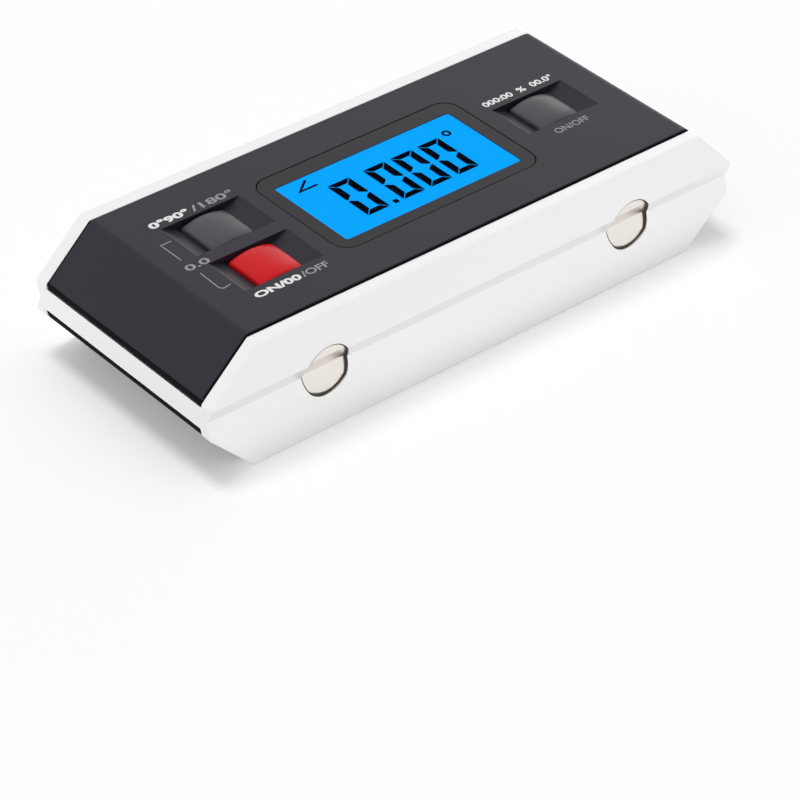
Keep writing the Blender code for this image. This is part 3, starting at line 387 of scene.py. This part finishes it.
def addPiece(name, mesh, finish, body="case", replaces=None):
    piece = bpy.data.objects.new(name, mesh)
    bpy.context.scene.collection.objects.link(piece)
    mesh.materials.clear()
    mesh.materials.append(finishes[finish])
    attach(piece, body)
    if replaces:
        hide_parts(replaces)
    return piece


def boxOf(node):
    low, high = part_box(node)
    return low / mm, high / mm


# frame: the bars of the CAD node, with the inner edges of their rims and their feet rounded

rim = {
    "inside": 26.7, "round": 0.45, "steps": 4,
    "side": 30.0, "oldFoot": 0.3, "foot": 0.5, "footEnd": 60,
    "strip": 1.2,                             # a face wider than this is shaded flat
    "weld": 0.003, "cut": 0.001, "near": 0.01, "level": 0.5,
}


def makeRing():
    net = bmesh.new()
    net.from_mesh(nodes["frame"].data)
    net.transform(Matrix.Scale(1 / mm, 4) @ nodes["frame"].matrix_world)
    bmesh.ops.remove_doubles(net, verts=net.verts, dist=rim["weld"])
    bmesh.ops.dissolve_limit(net, angle_limit=radians(rim["level"]), verts=net.verts,
                             edges=net.edges)
    near = rim["near"]

    def boundsRim(edge):
        # on the inner line of a bar, between a face that looks inwards and one that doesn't
        if any(abs(abs(v.co.y) - rim["inside"]) > near for v in edge.verts):
            return False
        walls = sorted(abs(face.normal.y) for face in edge.link_faces)
        return len(walls) == 2 and walls[0] < 0.1 and walls[1] > 0.9

    edges = [edge for edge in net.edges if boundsRim(edge)]
    bmesh.ops.bevel(net, geom=edges, offset=rim["round"], segments=rim["steps"], profile=0.5,
                    affect="EDGES")
    for x in (-rim["footEnd"], rim["footEnd"]):
        bmesh.ops.bisect_plane(net, geom=net.verts[:] + net.edges[:] + net.faces[:],
                               plane_co=(x, 0, 0), plane_no=(1, 0, 0), dist=rim["cut"])
    grow = rim["foot"] / rim["oldFoot"]
    for v in net.verts:
        # the rounding along the foot of each bar, drawn larger
        low = v.co.z < rim["oldFoot"] + near
        outside = abs(v.co.y) > rim["side"] - rim["oldFoot"] - near
        if low and outside and abs(v.co.x) < rim["footEnd"] + near:
            v.co.z *= grow
            v.co.y = (rim["side"] - (rim["side"] - abs(v.co.y)) * grow) * (1 if v.co.y > 0 else -1)
    flat = {face for face in net.faces
            if face.calc_area() > rim["strip"] * max(edge.calc_length() for edge in face.edges)}
    for face in net.faces:
        face.smooth = True
    for edge in net.edges:
        soft = edge.calc_face_angle(0) < radians(softTurn)
        edge.smooth = soft and not flat.intersection(edge.link_faces)
    addPiece("ringFrame", meshOf("ringFrame", net), "aluminium",
             replaces="frame")


makeRing()
print("frame: rims rounded")


# display: lens with a printed border, a clear middle, and what the panel under it shows

lens = {
    "edge": 0.12, "grow": 0.1, "round": 4.2,
    "window": (50.8, 24.55), "windowCentre": (0.07, -0.71), "windowRound": 0.7,
    "windowSteps": 4, "windowEdge": 0.02,
    "paneLow": 0.12, "paneTop": 0.03, "gap": 0.02, "sheetTop": 0.16,
}


def makeLens():
    low, high = boxOf("display_lens")
    size, centre = high - low, (low + high) / 2
    length, width = lens["window"]

    def outer(grow):
        return outlineOf(size.x, size.y, lens["round"], centre, grow + lens["grow"])

    def inner(grow):
        return outlineOf(length, width, lens["windowRound"], lens["windowCentre"], grow,
                         lens["windowSteps"])

    border = bmesh.new()
    plateInto(border, [outer(0), inner(0)], low.z, high.z, lens["edge"],
              [outer(-lens["edge"]), inner(lens["windowEdge"])])
    addPiece("lensBorder", meshOf("lensBorder", border, softTurn), "lensBorder",
             replaces="display_lens")
    pane = bmesh.new()
    plateInto(pane, [inner(-lens["gap"])], high.z - lens["paneLow"], high.z - lens["paneTop"])
    addPiece("lensWindow", meshOf("lensWindow", pane), "pane",
             replaces="display_lens")
    sheet = bmesh.new()
    plateInto(sheet, [inner(-lens["gap"])], boxOf("lcd_panel")[1].z + lens["gap"],
              high.z - lens["sheetTop"])
    addPiece("frontSheet", meshOf("frontSheet", sheet), "screen")


reading = {
    "bottom": -8.61, "height": 14.0, "width": 6.25, "bar": 1.95, "gap": 0.13, "thick": 0.02,
    "middle": 0.75, "slant": 0.82, "waist": 0.35, "tip": 0.3,
    "digits": (-15.55, -5.30, 2.65, 10.60),         # left edge of each nought
    "point": (-7.15, -8.01, 1.35), "pointRound": 0.15,
    "degree": (19.65, 5.59, 1.15, 0.6), "degreeRound": 0.98,
    "angleSign": [(-16.50, 7.41), (-21.40, 7.41), (-17.60, 10.31)], "angleLine": 0.65,
}


def noughtBars(x, y):
    # six bars of a seven-bar digit, pointed where they meet
    w, h, t, g = reading["width"], reading["height"], reading["bar"], reading["gap"]
    m, half = y + h / 2, reading["middle"]
    slant, waist, tip = t * reading["slant"], half * reading["waist"], t * reading["tip"]
    flat = [(x + g, y), (x + w - g, y), (x + w - slant - g, y + slant), (x + slant + g, y + slant)]
    top = [(px, 2 * m - py) for px, py in flat]
    low = [(x, y + g), (x, m - waist), (x + tip, m - waist), (x + t, m - half - tip),
           (x + t, y + t + g)]
    bars = [flat, top, low, [(px, 2 * m - py) for px, py in low]]
    return bars + [[(2 * x + w - px, py) for px, py in bar] for bar in bars[2:]]


def makeReading():
    base = boxOf("display_lens")[1].z - lens["sheetTop"]
    top = base + reading["thick"]
    net = bmesh.new()
    for x in reading["digits"]:
        for bar in noughtBars(x, reading["bottom"]):
            plateInto(net, [bar], base, top)
    x, y, side = reading["point"]
    plateInto(net, [outlineOf(side, side, reading["pointRound"], (x, y), 0, 2)], base, top)
    x, y, radius, line = reading["degree"]
    rounds = [outlineOf(2 * r, 2 * r, r * reading["degreeRound"], (x, y), 0, 6)
              for r in (radius, radius - line)]
    plateInto(net, rounds, base, top)
    plateInto(net, [strokeOutline(reading["angleSign"], reading["angleLine"])], base, top)
    addPiece("reading", meshOf("reading", net), "segment")


makeLens()
makeReading()
print("display: lens border, pane, reading")


# keys: crowned caps with softened edges

keyCap = {
    "length": 11.8, "width": 11.6, "fallX": 1.1, "fallY": 0.5, "edge": 0.45, "corner": 0.8,
    "edgeDrop": 0.75, "rings": 12, "edgeSteps": 5, "cornerSteps": 6, "sideSteps": 14,
    "softTurn": 60,
}


def makeKeyCap(name, node, body, finish):
    low, high = boxOf(node)
    centre = (low + high) / 2
    edge = keyCap["edge"]

    def loopAt(grow, share=1.0):
        loop = outlineOf(keyCap["length"], keyCap["width"], keyCap["corner"], (0, 0), grow,
                         keyCap["cornerSteps"], keyCap["sideSteps"])
        return [(x * share, y * share) for x, y in loop]

    def crown(x, y):
        return high.z - keyCap["fallX"] * (2 * x / keyCap["length"]) ** 2 \
            - keyCap["fallY"] * (2 * y / keyCap["width"]) ** 4

    net = bmesh.new()
    rings = []
    for i in range(1, keyCap["rings"] + 1):
        rings.append([(x, y, crown(x, y)) for x, y in loopAt(-edge, i / keyCap["rings"])])
    for i in range(1, keyCap["edgeSteps"] + 1):
        turn = pi / 2 * i / keyCap["edgeSteps"]
        rings.append([(x, y, crown(x, y) - keyCap["edgeDrop"] * (1 - cos(turn)))
                      for x, y in loopAt(edge * (sin(turn) - 1))])
    rings.append([(x, y, low.z) for x, y in loopAt(0)])
    made = [[net.verts.new((centre.x + x, centre.y + y, z)) for x, y, z in ring] for ring in rings]
    count = len(made[0])
    peak = net.verts.new((centre.x, centre.y, high.z))
    for k in range(count):
        net.faces.new((peak, made[0][k], made[0][(k + 1) % count]))
    for inner, outer in zip(made, made[1:]):
        bandInto(net, inner, outer)
    net.faces.new(made[-1][::-1])
    addPiece(name, meshOf(name, net, keyCap["softTurn"]), finish, body, node)


makeKeyCap("holdCap", "hold_button", "hold_key", "greyKey")
makeKeyCap("powerCap", "power_button", "power_key", "redKey")
makeKeyCap("lightCap", "light_button", "light_key", "greyKey")
print("keys: 3 caps")


# painted shade: thin near-black strips over the lips of both covers, beside each end wall, where the
# shade under each lip falls

lipShade = {
    "lip": 75.5, "proud": 0.12, "under": 0.3, "round": 1.0, "half": 26.4, "steps": 6,
    "rear": {"wall": 13.35, "bend": 12.0, "turn": 62, "upward": -1},
    "front": {"wall": 18.95, "bend": 19.815, "turn": 24, "upward": 1},
}


def makeLipShades():
    middle = lipShade["lip"] - lipShade["round"]
    outer, inner = lipShade["round"] + lipShade["proud"], lipShade["round"] - lipShade["under"]
    net = bmesh.new()
    for end in (-1, 1):
        for paintedShadeStrip in (lipShade["rear"], lipShade["front"]):
            last = radians(paintedShadeStrip["turn"])
            turns = [last * i / lipShade["steps"] for i in range(lipShade["steps"] + 1)]

            def arc(radius, order):
                return [(middle + radius * cos(turn),
                         paintedShadeStrip["bend"] + paintedShadeStrip["upward"] * radius * sin(turn)) for turn in order]

            section = [(middle + outer, paintedShadeStrip["wall"])] + arc(outer, turns)
            section += arc(inner, turns[::-1]) + [(middle + inner, paintedShadeStrip["wall"])]
            near, far = [[net.verts.new((end * x, y, z)) for x, z in section]
                         for y in (-lipShade["half"], lipShade["half"])]
            bandInto(net, near, far)
            net.faces.new(near)
            net.faces.new(far[::-1])
    addPiece("lipShades", meshOf("lipShades", net, softTurn), "paintedShadeStrip")


# two more strips of painted shade run along the rounded edges of the front cover, next to the bars,
# where the gap lies in shade

edgeShade = {
    "inset": 25.95, "edge": 0.5, "proud": 0.05, "under": 0.1, "turn": 34, "skirt": 0.4,
    "steps": 6, "end": 75.1, "slopeSum": 95.73, "crease": 2.2, "creaseSteps": 8,
}


def edgeShadePath():
    # points on the cover from one end to the other, with the direction that faces out
    face, radius = boxOf("front_cover")[1].z, edgeShade["crease"]
    bend = edgeShade["slopeSum"] - radius * 2 ** 0.5 - (face - radius)
    half = []
    for i in range(edgeShade["creaseSteps"] + 1):
        turn = pi / 4 * i / edgeShade["creaseSteps"]
        half.append((bend + radius * sin(turn), face - radius + radius * cos(turn),
                     sin(turn), cos(turn)))
    half.append((edgeShade["end"], edgeShade["slopeSum"] - edgeShade["end"], sin(pi / 4), cos(pi / 4)))
    return [(-x, z, -nx, nz) for x, z, nx, nz in half[::-1]] + half


def makeEdgeShades():
    edge, outer = edgeShade["edge"], edgeShade["edge"] + edgeShade["proud"]
    first, last = radians(edgeShade["turn"]), pi / 2
    turns = [first + (last - first) * i / edgeShade["steps"] for i in range(edgeShade["steps"] + 1)]
    inner = edge - edgeShade["under"]
    section = [(outer * sin(turn), outer * cos(turn) - edge) for turn in turns]
    section += [(outer, -edge - edgeShade["skirt"]), (inner, -edge - edgeShade["skirt"])]
    section += [(inner * sin(turn), inner * cos(turn) - edge) for turn in turns[::-1]]
    net = bmesh.new()
    for side in (-1, 1):
        rows = [[net.verts.new((x + nx * lift, side * (edgeShade["inset"] + out), z + nz * lift))
                 for out, lift in section] for x, z, nx, nz in edgeShadePath()]
        for row, after in zip(rows, rows[1:]):
            bandInto(net, row, after)
        net.faces.new(rows[0])
        net.faces.new(rows[-1][::-1])
    addPiece("edgeShades", meshOf("edgeShades", net, softTurn), "paintedShadeStrip")


makeLipShades()
makeEdgeShades()
print("seals: 4 lips, 2 edges")


# screw plugs: flat discs with a rounded edge, so that a shadow runs round each

plugCap = {"round": 0.4, "sink": 0.03, "steps": 64, "roundSteps": 5}


def makePlugCap(name, node):
    low, high = boxOf(node)
    centre = (low + high) / 2
    radius, edge = (high.x - low.x) / 2, plugCap["round"]
    profile = [(radius, high.z)]
    for i in range(plugCap["roundSteps"] + 1):
        turn = pi / 2 * i / plugCap["roundSteps"]
        profile.append((radius - edge * (1 - cos(turn)),
                        low.z + plugCap["sink"] + edge * (1 - sin(turn))))
    net = bmesh.new()
    turns = [2 * pi * k / plugCap["steps"] for k in range(plugCap["steps"])]
    rings = [[net.verts.new((centre.x + r * cos(turn), centre.y + r * sin(turn), z))
              for turn in turns] for r, z in profile]
    for upper, lower in zip(rings, rings[1:]):
        bandInto(net, upper, lower)
    net.faces.new(rings[0])
    net.faces.new(rings[-1][::-1])
    addPiece(name, meshOf(name, net, softTurn), "plug", replaces=node)


for i in range(1, 5):
    makePlugCap(f"plugCap{i}", f"screw_plug_{i}")
print("plugs: 4 caps")


# magnets: a dark bonding line in each bore, which follows the groove, drawn deeper towards one side
# as painted shade of the bore wall

bondAndShade = {
    "outer": 6.33, "inner": 6.06, "below": 0.12, "steps": 96,
    "grooveHalf": 3.4, "grooveDepth": 1.35,
    "paintedShadeDepth": 0.42, "paintedShadeAngle": -62, "paintedShadeSpread": 1.7,
}


def makeBondAndShadeRings():
    barFace = boxOf("frame")[0].y
    outer, inner, steps = bondAndShade["outer"], bondAndShade["inner"], bondAndShade["steps"]
    for name, node in (("bondAndShadeLeft", "magnet_left"), ("bondAndShadeRight", "magnet_right")):
        low, high = boxOf(node)
        centre = (low + high) / 2
        net = bmesh.new()
        loops = []
        for radius, deep in ((outer, True), (outer, False), (inner, False), (inner, True)):
            loop = []
            for k in range(steps):
                turn = 2 * pi * k / steps
                x, z = radius * cos(turn), radius * sin(turn)
                groove = max(0.0, 1 - abs(z) / bondAndShade["grooveHalf"]) * bondAndShade["grooveDepth"]
                # the ring reaches deeper towards one side: painted shade of the bore wall there
                away = abs((turn - radians(bondAndShade["paintedShadeAngle"]) + pi) % (2 * pi) - pi)
                paintedShadeDepth = bondAndShade["paintedShadeDepth"] * max(0.0, cos(min(away * bondAndShade["paintedShadeSpread"], pi / 2)))
                y = high.y if deep else barFace + groove + bondAndShade["below"] + paintedShadeDepth
                loop.append(net.verts.new((centre.x + x, y, centre.z + z)))
            loops.append(loop)
        for i, loop in enumerate(loops):
            bandInto(net, loop, loops[(i + 1) % 4])
        addPiece(name, meshOf(name, net, softTurn), "bond")


makeBondAndShadeRings()
print("magnets: 2 bonding lines")


# legends printed on the front: plain numbers, signs, and on and off at the switches

legends = [
    # the words' left end and baseline, their width and the height of their capitals
    {"words": "0°90°", "left": -55.86, "base": 15.36, "width": 10.6, "height": 2.1,
     "ink": "whiteInk", "bold": 0.045},
    {"words": "/180°", "left": -44.56, "base": 15.36, "width": 11.4, "height": 2.1,
     "ink": "greyInk", "bold": 0.02},
    {"words": "ON/00", "left": -53.96, "base": -18.09, "width": 12.2, "height": 2.0,
     "ink": "whiteInk", "bold": 0.045},
    {"words": "/OFF", "left": -41.36, "base": -18.09, "width": 7.2, "height": 2.0,
     "ink": "greyInk", "bold": 0.02},
    {"words": "0.0", "left": -59.36, "base": -1.59, "width": 6.2, "height": 2.0,
     "ink": "greyInk", "bold": 0.02},
    {"words": "000:00  %  00.0°", "left": 33.84, "base": 7.91, "width": 21.2, "height": 1.9,
     "ink": "whiteInk", "bold": 0.03},
    {"words": "ON/OFF", "left": 39.44, "base": -10.09, "width": 10.1, "height": 1.9,
     "ink": "greyInk", "bold": 0.01},
]
bracket = {
    "lines": [[(-58.01, 2.61), (-58.06, 9.54), (-55.32, 9.53)],
              [(-57.76, -3.49), (-57.96, -10.09), (-57.31, -10.79), (-55.16, -10.49)]],
    "width": 0.28,
}
printing = {
    "thick": 0.02, "sink": 0.002, "extrude": 0.004,
    "capital": 0.682,                         # height of a capital in lettering of size 1
    "slots": {"whiteInk": "label_white", "greyInk": "key_grey"},
}


def faceTop():
    return boxOf("front_cover")[1].z


def makeLegend(name, legend):
    curve = bpy.data.curves.new("words", "FONT")
    curve.body = legend["words"]
    curve.size = 1
    curve.offset = legend["bold"]
    curve.extrude = printing["extrude"]
    written = bpy.data.objects.new("words", curve)
    bpy.context.scene.collection.objects.link(written)
    drawn = written.evaluated_get(bpy.context.evaluated_depsgraph_get())
    mesh = bpy.data.meshes.new_from_object(drawn)
    bpy.data.objects.remove(written)
    xs = [v.co.x for v in mesh.vertices]
    sideways = legend["width"] / (max(xs) - min(xs))
    upward = legend["height"] / (printing["capital"] + 2 * legend["bold"])
    thicken = printing["thick"] / (2 * printing["extrude"])
    middle = faceTop() + printing["thick"] / 2
    mesh.transform(Matrix.Translation((-min(xs), legend["bold"], 0)))
    mesh.transform(Matrix.Diagonal((sideways, upward, thicken, 1)))
    mesh.transform(Matrix.Translation((legend["left"], legend["base"], middle)))
    mesh.transform(Matrix.Scale(mm, 4))
    mesh.name = name
    addPiece(name, mesh, legend["ink"])


def makeBracket():
    net = bmesh.new()
    for line in bracket["lines"]:
        plateInto(net, [strokeOutline(line, bracket["width"])], faceTop() - printing["sink"],
                  faceTop() + printing["thick"])
    addPiece("bracketLines", meshOf("bracketLines", net), "greyInk")


for i, legend in enumerate(legends):
    makeLegend(f"legend{i}", legend)
makeBracket()
print("legends:", len(legends), "and the bracket")


# the set

studio = {
    "worldLight": 0.55,
    "floorHalf": 4, "floorColour": 0.83, "floorLift": 0.25, "floorRoughness": 0.9,
    "key": {"from": (-0.13, 0.15, 1.1), "spread": 18, "strength": 1.06},
    "side": {"place": (0.86, 0.66, 0.15), "size": 0.26, "watts": 0.6},
}


def seenRays(net):
    # 1 for what the camera sees, straight or by way of gloss or glass, and 0 for light on things
    camera, glossy, through = [net.node("ShaderNodeLightPath", output=name) for name in
                               ("Is Camera Ray", "Is Glossy Ray", "Is Transmission Ray")]
    return net.node("ShaderNodeMath", {"operation": "MAXIMUM"}, {0: camera, 1: glossy}) + through


def makeFloor():
    net = bmesh.new()
    bmesh.ops.create_grid(net, x_segments=1, y_segments=1, size=studio["floorHalf"])
    mesh = bpy.data.meshes.new("floor")
    net.to_mesh(mesh)
    net.free()
    floor = bpy.data.objects.new("floor", mesh)
    bpy.context.scene.collection.objects.link(floor)
    material, net = newMaterial("paleFloor")
    lift = net.blend(seenRays(net), (0, 0, 0), (studio["floorLift"],) * 3)
    net.finish(Base_Color=(studio["floorColour"],) * 3, Roughness=studio["floorRoughness"],
               Specular_IOR_Level=0.0, Emission_Color=lift, Emission_Strength=1.0)
    mesh.materials.append(material)


def makeWorld():
    world = bpy.data.worlds.new("studio")
    world.use_nodes = True
    bpy.context.scene.world = world
    net = Net(world.node_tree, "Background")
    light = studio["worldLight"]
    net.finish(Color=(1, 1, 1), Strength=seenRays(net) * (1 - light) + light)


def addLamp(data, place):
    lamp = bpy.data.objects.new(data.name, data)
    lamp.location = place
    lamp.rotation_euler = (-Vector(place)).to_track_quat("-Z", "Y").to_euler()
    bpy.context.scene.collection.objects.link(lamp)
    return lamp


def makeLamps():
    # the key light comes from overhead and stays out of the gloss
    key = bpy.data.lights.new("keyLight", "SUN")
    key.angle = radians(studio["key"]["spread"])
    key.energy = studio["key"]["strength"]
    addLamp(key, studio["key"]["from"]).visible_glossy = False
    # the side light is a small softbox
    side = bpy.data.lights.new("sideLight", "AREA")
    side.size = studio["side"]["size"]
    side.energy = studio["side"]["watts"]
    addLamp(side, studio["side"]["place"])


view = {
    "azimuth": radians(-42.913), "elevation": radians(37.1645), "roll": radians(2.907),
    "distance": 738.66 * mm, "lens": 149.27, "sensor": 36, "nearest": 0.01,
    "aim": (0, 0, 15.8 * mm),
    "across": -1.387 * mm, "up": 37.12 * mm,      # the aim point, from the middle of the picture
}


def makeCamera():
    az, el, roll = view["azimuth"], view["elevation"], view["roll"]
    right = Vector((cos(az), sin(az), 0))
    forward = Vector((-sin(az) * cos(el), cos(az) * cos(el), -sin(el)))
    upward = right.cross(forward)
    across = right * cos(roll) + upward * sin(roll)
    up = upward * cos(roll) - right * sin(roll)
    data = bpy.data.cameras.new("camera")
    data.sensor_width = view["sensor"]
    data.lens = view["lens"]
    data.clip_start = view["nearest"]
    camera = bpy.data.objects.new("camera", data)
    back = forward * view["distance"]
    spot = Vector(view["aim"]) - across * view["across"] - up * view["up"] - back
    turn = Matrix((across, up, -forward)).transposed()
    camera.matrix_world = Matrix.Translation(spot) @ turn.to_4x4()
    bpy.context.scene.collection.objects.link(camera)
    bpy.context.scene.camera = camera


makeFloor()
makeWorld()
makeLamps()
makeCamera()
bpy.context.scene.view_settings.view_transform = "Standard"
print("studio: done")
